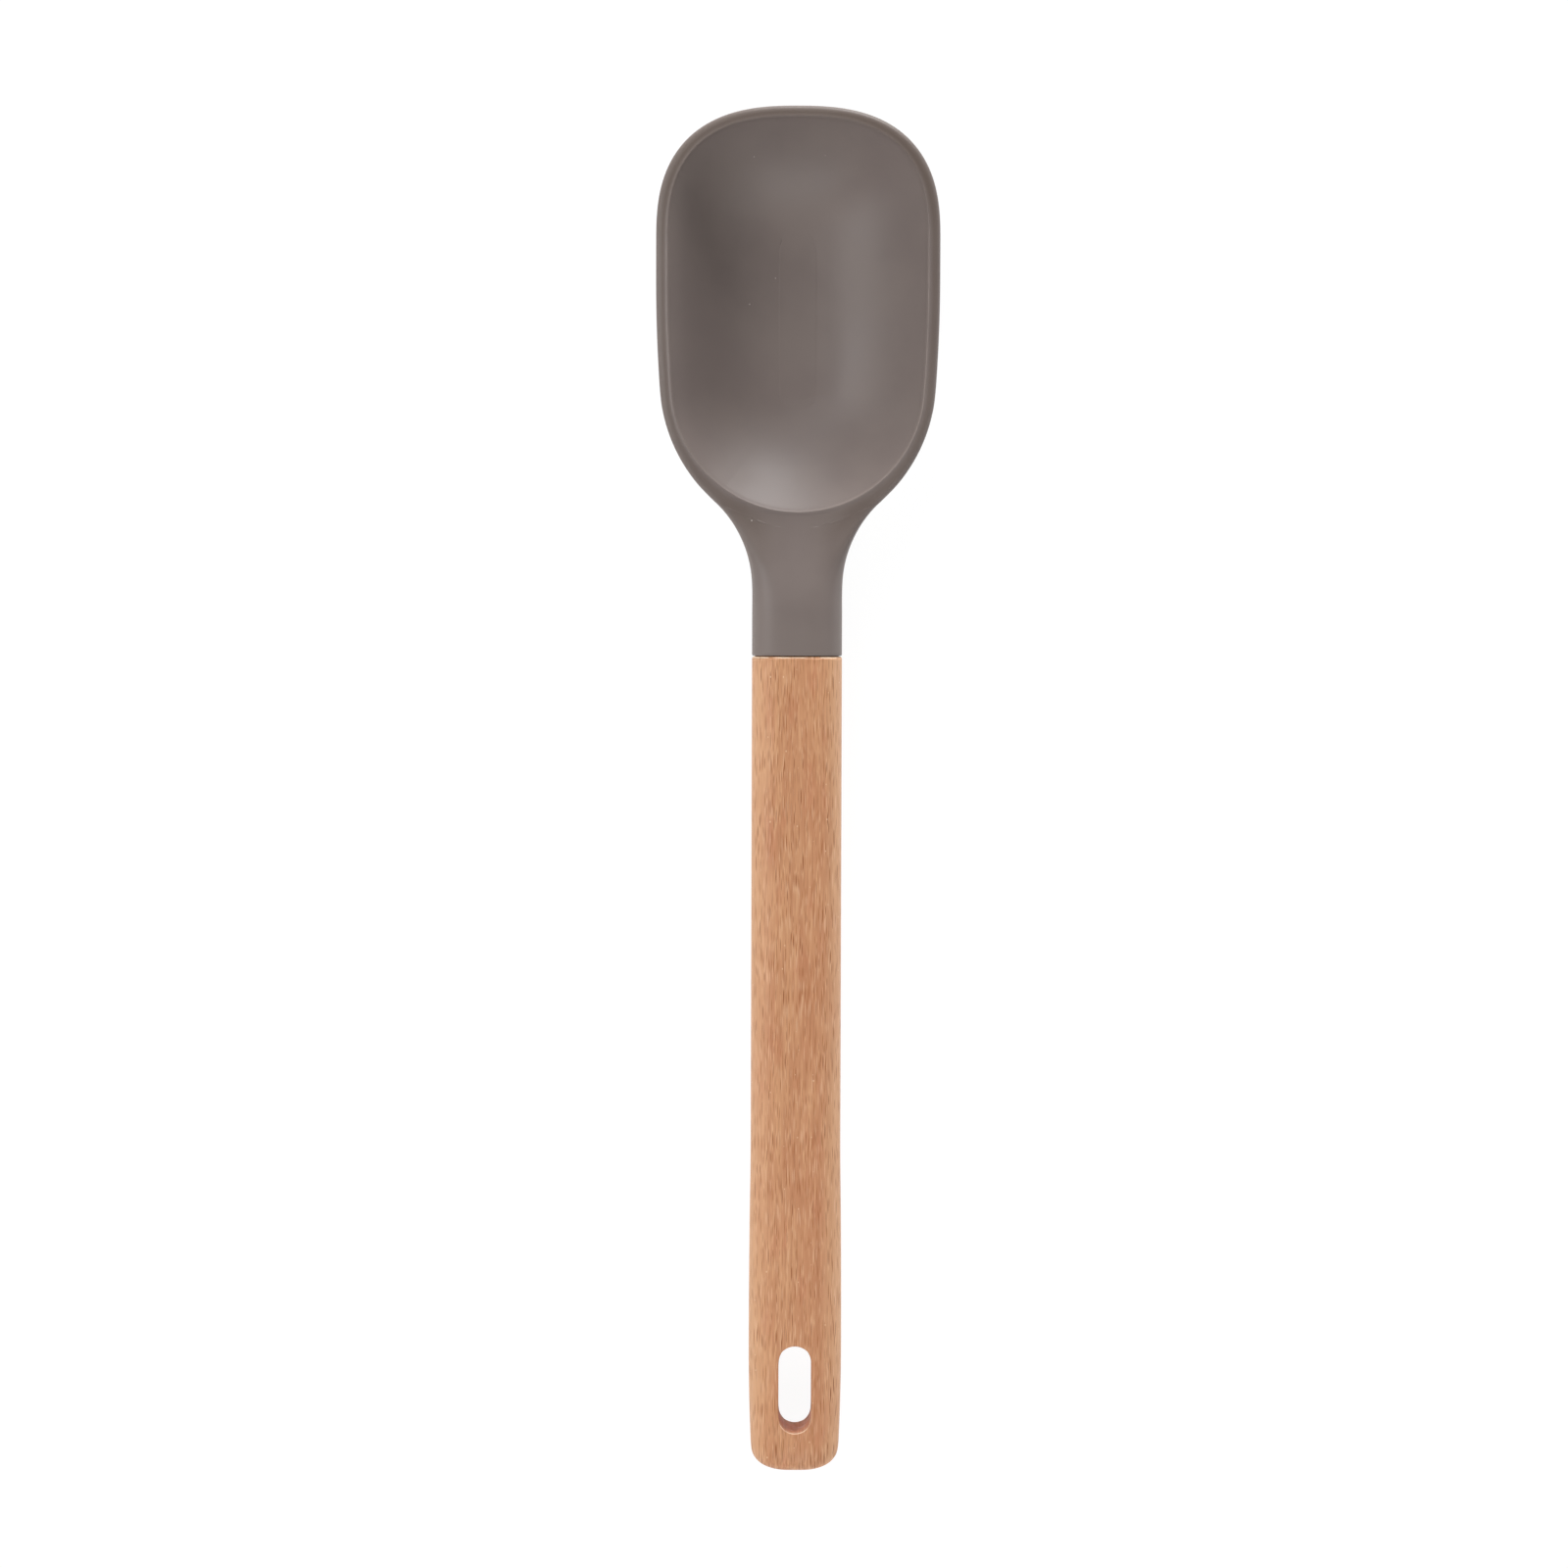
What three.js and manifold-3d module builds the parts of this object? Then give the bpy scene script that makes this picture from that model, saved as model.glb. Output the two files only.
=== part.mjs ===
// A rice spoon lying on its back: a silicone head moulded over a nylon core, glued into a beech handle.
// Millimetres. +X is to the right, +Y runs from the butt to the bowl's tip, +Z is up from the table.
// Inside the head, "along" is the distance from the collar's face towards the tip.

import * as THREE from 'three';
import { mergeVertices } from 'three/addons/utils/BufferGeometryUtils.js';
import Module from 'manifold-3d';

const wasm = await Module();
wasm.setup();

// Driving sizes of the handle
const handleLength = 192;
const handleWidth = 21.1;
const swellWidth = 21.8;
const swellPlace = 30;
const swellReach = 75;
const buttWidth = 20.1;
const handleThickness = 14.5;
const handleFlat = 7;
const ovalPower = 2.3;
const buttRound = 6.4;
const buttPower = 2.7;
const frontChamfer = 0.5;
const slotWidth = 7.7;
const slotLength = 20.7;
const slotMargin = 9.6;

// Driving sizes of the head's outline, seen from above
const headHalfWidth = 33.2;
const tipLength = 31;
const tipPower = 2.6;
const sideStraight = 9.1;
const sideRadius = 352;
const sideTurn = THREE.MathUtils.degToRad(4.3);
const shoulderRadius = 38.2;
const flareRadius = 27.3;
const neckStraight = 15.7;
const collarRound = 0.4;

// Driving sizes of the bowl, seen from the side
const collarHeight = 14.6;
const rimHeight = 19.5;
const tipRise = 1.8;
const rimWidth = 2.7;
const rimRound = 1.6;
const floorThickness = 3.8;
const hollowPower = 2.3;
const hollowEndPower = 1.8;
const hollowLead = 1.25;
const soleShare = 0.14;
const rimPower = 30;
const hullPower = 1.9;
const hullRoot = 0.85;

// Driving sizes of the core and of the glued joint
const boreRadius = 5;
const tangLength = 42;
const boreEndRoom = 2;
const glueThickness = 0.5;
const grooveCount = 4;
const grooveWidth = 1.4;
const grooveDepth = 0.6;
const plateThickness = 1.4;
const plateShare = 0.8;
const skinThickness = 0.9;
const rootOverlap = 2;
const tangChamfer = 1;
const clearance = 0.3;

// Fineness of the round shapes
const quarterSteps = 9;
const arcSteps = 7;
const tipSteps = 11;
const hollowSteps = 9;
const coreSteps = 4;
const swellSteps = 6;
const barSteps = 10;
const barSides = 16;
const tangSides = 20;

// Sizes worked out from the driving ones
const neckHalfWidth = handleWidth / 2;
const halfThickness = handleThickness / 2;
const flatShare = handleFlat / handleWidth;
const tangRadius = boreRadius - 2 * clearance - glueThickness;
const boreDepth = clearance + tangLength + boreEndRoom;

// The outline is a chain of tangent arcs: straight neck, hollow flare, round shoulder, long side, blunt tip.
const sideFall = sideRadius * (1 - Math.cos(sideTurn));
const shoulderMiddle = headHalfWidth - sideFall - shoulderRadius * Math.cos(sideTurn);
const flareMiddle = neckHalfWidth + flareRadius;
const flareTurn = Math.acos((flareMiddle - shoulderMiddle) / (shoulderRadius + flareRadius));
const flareEnd = neckStraight + flareRadius * Math.sin(flareTurn);
const shoulderEnd = flareEnd + shoulderRadius * (Math.sin(flareTurn) - Math.sin(sideTurn));
const sideEnd = shoulderEnd + sideRadius * Math.sin(sideTurn);
const tipStart = sideEnd + sideStraight;
const headLength = tipStart + tipLength;

// The hollow's end towards the neck is an arc about a point on the axis, tangent to the inset sides.
const hollowStart = shoulderEnd + hollowLead;
const hollowTurn = Math.atan2(sideEnd - hollowStart, sideRadius - headHalfWidth);
const hollowEndRadius = sideRadius - rimWidth - (sideRadius - headHalfWidth) / Math.cos(hollowTurn);
const hollowEdge = hollowStart - hollowEndRadius;

// Helpers

function evenSteps(from, to, steps) {
  return Array.from({ length: steps }, (_, i) => from + (to - from) * (i + 1) / steps);
}

function blend(a, b, share) {
  return a + (b - a) * share;
}

// A point on a quarter of a superellipse with half-axes of one.
function roundCorner(angle, power) {
  return {
    across: Math.max(Math.cos(angle), 0) ** (2 / power),
    along: Math.max(Math.sin(angle), 0) ** (2 / power),
  };
}

// Joins rings of points into one closed skin. A ring that has shrunk to a line or a point needs no cap.
function loft(rings, { startCap = false, endCap = false } = {}) {
  const count = rings[0].length;
  const points = rings.flat();
  const index = [];
  for (let i = 0; i < rings.length - 1; i += 1) {
    for (let k = 0; k < count; k += 1) {
      const next = (k + 1) % count;
      const [a, b] = [i * count + k, i * count + next];
      const [c, d] = [a + count, b + count];
      index.push(a, d, b, a, c, d);
    }
  }
  const addCap = (ring, start, turned) => {
    const middle = ring.reduce((sum, p) => sum.add(p), new THREE.Vector3()).divideScalar(count);
    points.push(middle);
    for (let k = 0; k < count; k += 1) {
      const pair = [start + k, start + (k + 1) % count];
      index.push(points.length - 1, ...(turned ? pair.reverse() : pair));
    }
  };
  if (startCap) {
    addCap(rings[0], 0, false);
  }
  if (endCap) {
    addCap(rings.at(-1), (rings.length - 1) * count, true);
  }
  return new THREE.BufferGeometry().setFromPoints(points).setIndex(index);
}

function toSolid(geometry) {
  const bare = geometry.clone();
  bare.deleteAttribute('normal');
  bare.deleteAttribute('uv');
  const merged = mergeVertices(bare, 1e-4);
  const corners = merged.index.array;
  const triangles = [];
  for (let i = 0; i < corners.length; i += 3) {
    const [a, b, c] = corners.slice(i, i + 3);
    if (a !== b && b !== c && c !== a) {
      triangles.push(a, b, c);
    }
  }
  return new wasm.Manifold(new wasm.Mesh({
    numProp: 3,
    vertProperties: new Float32Array(merged.attributes.position.array),
    triVerts: new Uint32Array(triangles),
  }));
}

function toMesh(name, solid, material) {
  const result = solid.getMesh();
  const geometry = new THREE.BufferGeometry();
  geometry.setAttribute('position', new THREE.BufferAttribute(result.vertProperties, 3));
  geometry.setIndex(new THREE.BufferAttribute(result.triVerts, 1));
  geometry.computeVertexNormals();
  const mesh = new THREE.Mesh(geometry, material);
  mesh.name = name;
  return mesh;
}

// Materials
const siliconeGrey = new THREE.MeshStandardMaterial({ color: 0x7b706c, roughness: 0.6, metalness: 0 });
const nylonBlack = new THREE.MeshStandardMaterial({ color: 0x33312f, roughness: 0.5, metalness: 0 });
const beechBrown = new THREE.MeshStandardMaterial({ color: 0xc49068, roughness: 0.7, metalness: 0 });
const glueAmber = new THREE.MeshStandardMaterial({ color: 0xd8c08a, roughness: 0.35, metalness: 0 });

// Handle: a flattened oval bar along its own Y axis, from the collar's face back to a domed butt.

// One closed oval ring: two flats joined by round sides.
function ovalRing(along, halfWidth, halfHeight) {
  const ring = [];
  for (let quarter = 0; quarter < 4; quarter += 1) {
    for (let i = 0; i <= quarterSteps; i += 1) {
      const angle = (quarter + i / quarterSteps) * Math.PI / 2;
      const share = Math.abs(Math.cos(angle));
      const side = quarter === 0 || quarter === 3 ? 1 : -1;
      const x = side * halfWidth * blend(flatShare, 1, share);
      const z = (quarter < 2 ? 1 : -1) * halfHeight * (1 - share ** ovalPower) ** (1 / ovalPower);
      ring.push(new THREE.Vector3(x, along, z));
    }
  }
  return ring;
}

// Half the handle's width at a distance from its butt: it swells by the slot and narrows to the butt.
function barHalfWidth(fromButt) {
  const endWidth = fromButt > swellPlace ? handleWidth : buttWidth;
  const room = fromButt > swellPlace ? swellReach - swellPlace : swellPlace;
  const share = Math.min(Math.abs(fromButt - swellPlace) / room, 1);
  return blend(swellWidth, endWidth, share ** 2) / 2;
}

function buttStations() {
  const stations = [];
  for (let i = 0; i < quarterSteps; i += 1) {
    const corner = roundCorner(i / quarterSteps * Math.PI / 2, buttPower);
    const fromButt = buttRound * (1 - corner.along);
    stations.push({
      reach: handleLength - fromButt,
      halfWidth: barHalfWidth(fromButt) * corner.across,
      halfHeight: halfThickness * corner.across,
    });
  }
  return stations;
}

function makeHandle() {
  const rings = buttStations().map((s) => ovalRing(-s.reach, s.halfWidth, s.halfHeight)).reverse();
  for (const [from, to] of [[buttRound, swellPlace], [swellPlace, swellReach]]) {
    for (const fromButt of evenSteps(from, to, swellSteps)) {
      rings.push(ovalRing(fromButt - handleLength, barHalfWidth(fromButt), halfThickness));
    }
  }
  rings.push(ovalRing(-clearance - frontChamfer, neckHalfWidth, halfThickness));
  rings.push(ovalRing(-clearance, neckHalfWidth - frontChamfer, halfThickness - frontChamfer));
  const bar = toSolid(loft(rings, { startCap: true, endCap: true }));

  const slotEnd = slotMargin + slotWidth / 2 - handleLength;
  const slotFront = slotEnd + slotLength - slotWidth;
  const slotShape = new THREE.Shape();
  slotShape.absarc(0, slotFront, slotWidth / 2, 0, Math.PI);
  slotShape.absarc(0, slotEnd, slotWidth / 2, Math.PI, 2 * Math.PI);
  const slotCutter = new THREE.ExtrudeGeometry(slotShape, {
    depth: 2 * handleThickness,
    bevelEnabled: false,
    curveSegments: 10,
  });
  slotCutter.translate(0, 0, -handleThickness);

  const boreCutter = new THREE.CylinderGeometry(boreRadius, boreRadius, 2 * boreDepth, 32);
  const wood = bar.subtract(toSolid(slotCutter)).subtract(toSolid(boreCutter));
  return toMesh('beech_handle', wood, beechBrown);
}

// The handle leans so that its butt rests on the table: the angle at which its first point touches down.
function restAngle({ reach, halfHeight }) {
  return Math.asin(collarHeight / Math.hypot(reach, halfHeight)) - Math.atan2(halfHeight, reach);
}

const lean = Math.min(...buttStations().map(restAngle));

// Head: heights along the axis

function axisHeight(along) {
  return collarHeight + along * Math.tan(lean);
}

// Runs from 0 at the oval neck to 1 where the top is as flat as the rim.
function topBlend(along) {
  return THREE.MathUtils.smoothstep(along, neckStraight / 2, hollowEdge);
}

function bottomBlend(along) {
  return THREE.MathUtils.smoothstep(along, neckStraight / 2, hollowStart);
}

function rimTop(along) {
  const share = Math.max(along - hollowStart, 0) / (headLength - hollowStart);
  return rimHeight + tipRise * share ** 2;
}

function crestHeight(along) {
  return blend(axisHeight(along) + halfThickness, rimTop(along), topBlend(along));
}

function keelHeight(along) {
  const share = THREE.MathUtils.smoothstep(along, neckStraight, hollowStart);
  return (1 - share) * (axisHeight(along) - halfThickness);
}

// Where the line from an outline point meets the axis: straight across at the neck, fanned out at the tip.
function spinePlace(along) {
  if (along <= hollowStart) {
    return along;
  }
  const spread = (headLength - hollowStart) / (tipStart - hollowStart);
  const share = (along - hollowStart) / (headLength - hollowStart);
  return blend(hollowStart, tipStart, 1 - (1 - share) ** spread);
}

// Points of the head's right-hand outline, from the collar to the tip.
function headOutline() {
  const points = [{ half: neckHalfWidth - collarRound, along: 0, inset: collarRound }];
  const add = (half, along) => points.push({ half, along, inset: 0 });
  add(neckHalfWidth, collarRound);
  add(neckHalfWidth, neckStraight / 2);
  add(neckHalfWidth, neckStraight);
  for (const turn of evenSteps(0, flareTurn, arcSteps)) {
    add(flareMiddle - flareRadius * Math.cos(turn), neckStraight + flareRadius * Math.sin(turn));
  }
  for (const turn of evenSteps(flareTurn, sideTurn, arcSteps)) {
    const ahead = shoulderRadius * (Math.sin(turn) - Math.sin(sideTurn));
    add(shoulderMiddle + shoulderRadius * Math.cos(turn), shoulderEnd - ahead);
  }
  for (const turn of evenSteps(sideTurn, 0, arcSteps)) {
    add(headHalfWidth - sideRadius * (1 - Math.cos(turn)), sideEnd - sideRadius * Math.sin(turn));
  }
  add(headHalfWidth, tipStart);
  for (const angle of evenSteps(0, Math.PI / 2, tipSteps)) {
    const corner = roundCorner(angle, tipPower);
    add(headHalfWidth * corner.across, tipStart + tipLength * corner.along);
  }
  return points;
}

// One ring of the head's outside: over the crowned top from right to left, and back under the hull.
function hullRing({ half, along, inset }) {
  const top = topBlend(along);
  const bottom = bottomBlend(along);
  const edge = blend(axisHeight(along), rimTop(along) - rimRound, top);
  const rise = crestHeight(along) - edge - inset;
  const drop = edge - keelHeight(along) - inset;
  const spine = spinePlace(along);
  const upper = {
    flat: flatShare,
    power: blend(ovalPower, rimPower, top ** 4),
    root: blend(1 / ovalPower, 1 / 2, top),
  };
  const lower = {
    flat: blend(flatShare, soleShare, bottom),
    power: blend(ovalPower, hullPower, bottom),
    root: blend(1 / ovalPower, hullRoot, bottom),
  };
  const ring = [];
  for (let quarter = 0; quarter < 4; quarter += 1) {
    const profile = quarter < 2 ? upper : lower;
    for (let i = 0; i <= quarterSteps; i += 1) {
      const share = Math.abs(Math.cos((quarter + i / quarterSteps) * Math.PI / 2));
      const side = quarter === 0 || quarter === 3 ? 1 : -1;
      const reach = blend(profile.flat, 1, share);
      const swell = Math.max(1 - share ** profile.power, 0) ** profile.root;
      const z = edge + (quarter < 2 ? rise : -drop) * swell;
      const leanBack = (z - axisHeight(along)) * Math.tan(lean) * (1 - top);
      ring.push(new THREE.Vector3(side * reach * half, blend(spine, along, reach) - leanBack, z));
    }
  }
  return ring;
}

function hullSolid() {
  return toSolid(loft(headOutline().map(hullRing), { startCap: true }));
}

// Hollow of the bowl

// Points of the hollow's right-hand edge, from the neck end to the tip, each with its place on the spine.
function hollowOutline() {
  const points = [{ half: 0, along: hollowEdge, spine: hollowStart }];
  for (const angle of evenSteps(Math.PI / 2, hollowTurn, 2 * arcSteps)) {
    const along = hollowStart - hollowEndRadius * Math.sin(angle);
    points.push({ half: hollowEndRadius * Math.cos(angle), along, spine: hollowStart });
  }
  const insetRadius = sideRadius - rimWidth;
  const add = (half, along) => {
    points.push({ half, along, spine: spinePlace(Math.max(along, hollowStart)) });
  };
  for (const turn of evenSteps(hollowTurn, 0, arcSteps)) {
    add(headHalfWidth - sideRadius + insetRadius * Math.cos(turn), sideEnd - insetRadius * Math.sin(turn));
  }
  add(headHalfWidth - rimWidth, tipStart);
  for (const angle of evenSteps(0, Math.PI / 2, tipSteps)) {
    const corner = roundCorner(angle, tipPower);
    add((headHalfWidth - rimWidth) * corner.across, tipStart + (tipLength - rimWidth) * corner.along);
  }
  return points;
}

// How the wall curves up from the floor: evenly rounded, but flatter in slope towards the neck.
function wallPower(point) {
  const towardsNeck = THREE.MathUtils.clamp((hollowStart - point.along) / hollowEndRadius, 0, 1);
  return blend(hollowPower, hollowEndPower, towardsNeck);
}

function hollowHeight(point, share) {
  return floorThickness + (rimTop(point.along) - floorThickness) * share ** wallPower(point);
}

// Length of the sloping surface over its length in plan, to turn a thickness into a height.
function hollowSteepness(point, share) {
  const reach = Math.hypot(point.half, point.along - point.spine);
  const depth = rimTop(point.along) - floorThickness;
  const power = wallPower(point);
  return Math.hypot(1, depth * power * share ** (power - 1) / reach);
}

// A closed loop about the spine: up the left side, round the tip and down the right side.
function hollowRing(outline, share, height, grow = 0) {
  const place = (point, side) => {
    const reach = Math.hypot(point.half, point.along - point.spine);
    const scale = share + grow / reach;
    const x = side * point.half * scale;
    return new THREE.Vector3(x, blend(point.spine, point.along, scale), height(point, share));
  };
  const left = outline.map((point) => place(point, -1));
  const right = outline.slice(1, -1).map((point) => place(point, 1));
  return [...left, ...right.reverse()];
}

function hollowSolid() {
  const outline = hollowOutline();
  const above = () => crestHeight(neckStraight) + rimHeight;
  const rings = [0, ...evenSteps(0, 1, hollowSteps)].map((share) => hollowRing(outline, share, hollowHeight));
  rings.push(hollowRing(outline, 1, above));
  rings.push(hollowRing(outline, 0, above));
  return toSolid(loft(rings));
}

// Core: a plate under the bowl, a bar through the neck and a grooved tang. "grow" widens it into its pocket.

function plateSolid(grow) {
  const outline = hollowOutline();
  const shares = [0, ...evenSteps(0, plateShare, coreSteps)];
  const roof = skinThickness + clearance - grow;
  const base = skinThickness + clearance + plateThickness + grow;
  const ring = (depth) => (share) => {
    const sunk = (point) => hollowHeight(point, share) - depth * hollowSteepness(point, share);
    return hollowRing(outline, share, sunk, share > 0 ? grow : 0);
  };
  return toSolid(loft([...shares.map(ring(base)), ...shares.reverse().map(ring(roof))]));
}

// Height of the silicone's upper face on the axis: the neck's crest, then the hollow's sloping end.
function upperFace(along) {
  if (along <= hollowEdge) {
    return crestHeight(along);
  }
  const share = (hollowStart - along) / hollowEndRadius;
  return hollowHeight({ along: hollowEdge }, share);
}

function barSolid(grow) {
  const barEnd = hollowStart - hollowEndRadius / 2;
  const rings = [-rootOverlap, ...evenSteps(-rootOverlap, barEnd, barSteps)].map((along) => {
    const low = keelHeight(along);
    const high = upperFace(along);
    const room = (high - low) / 2 * 0.8 - skinThickness - clearance;
    const halfHeight = Math.min(tangRadius, room) + grow;
    const widen = THREE.MathUtils.smoothstep(along, neckStraight, barEnd);
    const halfWidth = tangRadius * (1 + widen) + grow;
    return Array.from({ length: barSides }, (_, k) => {
      const angle = k / barSides * 2 * Math.PI;
      const z = (low + high) / 2 + halfHeight * Math.sin(angle);
      return new THREE.Vector3(halfWidth * Math.cos(angle), along, z);
    });
  });
  return toSolid(loft(rings, { startCap: true, endCap: true }));
}

function tangSolid(grow) {
  const radius = tangRadius + grow;
  const pitch = tangLength / (grooveCount + 1);
  const profile = [];
  const add = (distance, along) => profile.push(new THREE.Vector2(distance, along));
  add(0, rootOverlap);
  add(radius, rootOverlap);
  for (let i = 1; i <= grooveCount && grow === 0; i += 1) {
    add(radius, grooveWidth / 2 - i * pitch);
    add(radius - grooveDepth, (grooveWidth - grooveDepth) / 2 - i * pitch);
    add(radius - grooveDepth, (grooveDepth - grooveWidth) / 2 - i * pitch);
    add(radius, -grooveWidth / 2 - i * pitch);
  }
  add(radius, tangChamfer - tangLength);
  add(radius - tangChamfer, -tangLength);
  add(0, -tangLength);
  const tang = new THREE.LatheGeometry(profile.reverse(), tangSides);
  tang.rotateX(lean);
  tang.translate(0, 0, collarHeight);
  return toSolid(tang);
}

function coreSolid(grow) {
  return plateSolid(grow).add(barSolid(grow)).add(tangSolid(grow));
}

function makeHead() {
  const silicone = hullSolid().subtract(hollowSolid()).subtract(coreSolid(clearance));
  return toMesh('silicone_head', silicone, siliconeGrey);
}

function makeCore() {
  return toMesh('nylon_core', coreSolid(0), nylonBlack);
}

// Glue: a sleeve between the tang and the bore, in the handle's own frame.
function makeGlue() {
  const inner = tangRadius + clearance;
  const outer = inner + glueThickness;
  const near = -clearance - frontChamfer;
  const far = tangChamfer - tangLength;
  const profile = [[inner, far], [outer, far], [outer, near], [inner, near], [inner, far]];
  const sleeve = new THREE.LatheGeometry(profile.map(([r, y]) => new THREE.Vector2(r, y)), tangSides);
  return toMesh('tang_glue', toSolid(sleeve), glueAmber);
}

// Assembly: the head lies level, the handle leans down to the table, and the whole is centred along Y.
const handleGroup = new THREE.Group();
handleGroup.position.z = collarHeight;
handleGroup.rotation.x = lean;
handleGroup.add(makeHandle(), makeGlue());

const spoon = new THREE.Group();
spoon.add(makeHead(), makeCore(), handleGroup);

const extent = new THREE.Box3().setFromObject(spoon, true);
spoon.position.y = -(extent.min.y + extent.max.y) / 2;

const part = new THREE.Group();
part.add(spoon);

export default part;
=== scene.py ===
# %% [markdown]
# # A rice spoon with a silicone head and a beech handle
#
# The spoon lies on its back on a table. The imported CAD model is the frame: it says where each piece is,
# in metres. In this lesson we model the two pieces that show, the head and the handle, and give the two
# hidden ones, the core and the glue, a finish of their own.

# %% Load the frame
import math
from collections import namedtuple

import bmesh
import bpy
from mathutils import Matrix, Vector


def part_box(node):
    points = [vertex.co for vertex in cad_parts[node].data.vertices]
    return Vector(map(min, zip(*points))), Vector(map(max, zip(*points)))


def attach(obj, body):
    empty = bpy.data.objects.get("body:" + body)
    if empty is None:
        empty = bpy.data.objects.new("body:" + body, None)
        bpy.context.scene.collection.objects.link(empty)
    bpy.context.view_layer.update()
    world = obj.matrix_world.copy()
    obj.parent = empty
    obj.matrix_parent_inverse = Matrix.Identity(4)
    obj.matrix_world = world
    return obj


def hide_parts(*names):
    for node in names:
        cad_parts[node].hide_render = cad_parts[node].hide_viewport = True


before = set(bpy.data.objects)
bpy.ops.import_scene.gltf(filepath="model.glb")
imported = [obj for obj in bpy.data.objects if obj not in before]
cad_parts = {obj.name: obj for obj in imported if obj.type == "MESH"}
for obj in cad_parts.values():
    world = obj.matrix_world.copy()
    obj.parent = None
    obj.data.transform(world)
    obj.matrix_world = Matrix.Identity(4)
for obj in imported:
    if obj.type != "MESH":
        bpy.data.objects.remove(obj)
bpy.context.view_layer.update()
print("frame nodes:", sorted(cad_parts))

# %% [markdown]
# ## The picture
#
# The photograph was taken from straight above. How much of the slot's far wall shows tells how high the
# camera stood, and the spoon's length in the picture then gives the lens. The spoon leans a little to the
# right in the frame, so the camera is rolled by the same small angle.

# %% Camera
MM = 0.001
PHOTO_PIXELS = 1600
FOCAL_PIXELS = 4227
SENSOR_MM = 36
CAMERA_PLACE = Vector((-2.95, 1.75, 986)) * MM
CAMERA_ROLL = math.radians(0.17)

scene = bpy.context.scene
scene.view_settings.view_transform = "Standard"
camera_data = bpy.data.cameras.new("photo_camera")
camera_data.sensor_width = SENSOR_MM
camera_data.lens = SENSOR_MM * FOCAL_PIXELS / PHOTO_PIXELS
camera = bpy.data.objects.new("photo_camera", camera_data)
camera.location = CAMERA_PLACE
camera.rotation_euler.z = CAMERA_ROLL
scene.collection.objects.link(camera)
scene.camera = camera
print(f"lens {camera_data.lens:.1f} mm")

# %% [markdown]
# ## Helpers for nodes
#
# A material is a small network of nodes. These helpers add one node at a time and connect it, so that
# each recipe below reads as a list of steps. A value that is a socket is linked, any other is set. A ramp
# turns a range of values softly into another range, and colours are given as a screen shows them.


# %% Node helpers
def wire(tree, value, socket):
    if isinstance(value, bpy.types.NodeSocket):
        tree.links.new(value, socket)
    else:
        socket.default_value = value


def add_node(tree, kind, settings=None, **inputs):
    node = tree.nodes.new("ShaderNode" + kind)
    for name, value in (settings or {}).items():
        setattr(node, name, value)
    for name, value in inputs.items():
        wire(tree, value, node.inputs[name.replace("_", " ")])
    return node


def maths(tree, operation, *values, kind="Math"):
    node = add_node(tree, kind, {"operation": operation})
    for value, socket in zip(values, node.inputs):
        wire(tree, value, socket)
    return node.outputs[0]


def mix_colours(tree, share, first, second):
    node = add_node(tree, "Mix", {"data_type": "RGBA"})
    wire(tree, share, node.inputs[0])
    wire(tree, first, node.inputs[6])
    wire(tree, second, node.inputs[7])
    return node.outputs[2]


def ramp(tree, value, low, high, start=0.0, end=1.0):
    limits = {"From_Min": low, "From_Max": high, "To_Min": start, "To_Max": end}
    node = add_node(tree, "MapRange", {"interpolation_type": "SMOOTHSTEP"}, Value=value, **limits)
    return node.outputs[0]


def colour(red, green, blue):
    """Turns a colour as read off a screen, 0 to 255, into the linear one that a shader takes."""
    def straighten(level):
        level /= 255
        return level / 12.92 if level <= 0.04045 else ((level + 0.055) / 1.055) ** 2.4

    return (straighten(red), straighten(green), straighten(blue), 1.0)


# %% [markdown]
# ## Table and light
#
# The spoon was photographed on a white table that shows no edge. Ours is a wide white disc with an upturned
# rim, so that it also fills the background of a low view. It is painted white and glows a little, like a
# light table. For the eye, part of the paint's light is replaced by more glow. The table then stays white,
# and the spoon's shadow on it stays soft and faint.

# %% Table
TABLE_RADIUS, TABLE_SIDES, TABLE_RIM, TABLE_DROP = 15.0, 96, 3.0, 0.00002
TABLE_PAINT, TABLE_GLOW = 0.9, 0.28
SEEN_PAINT, SEEN_GLOW = 0.1, 0.945


def grey(level):
    return (level, level, level, 1.0)


table_material = bpy.data.materials.new("white_table")
table_material.use_nodes = True
tree = table_material.node_tree
tree.nodes.clear()
rays = add_node(tree, "LightPath").outputs
mirrored = maths(tree, "MAXIMUM", rays["Is Glossy Ray"], rays["Is Transmission Ray"])
seen = maths(tree, "MAXIMUM", rays["Is Camera Ray"], mirrored)
paint = add_node(tree, "BsdfDiffuse", Color=mix_colours(tree, seen, grey(TABLE_PAINT), grey(SEEN_PAINT)))
glow = add_node(tree, "Emission", Color=grey(1.0), Strength=ramp(tree, seen, 0.0, 1.0, TABLE_GLOW, SEEN_GLOW))
both = add_node(tree, "AddShader")
wire(tree, paint.outputs[0], both.inputs[0])
wire(tree, glow.outputs[0], both.inputs[1])
add_node(tree, "OutputMaterial", Surface=both.outputs[0])

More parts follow.
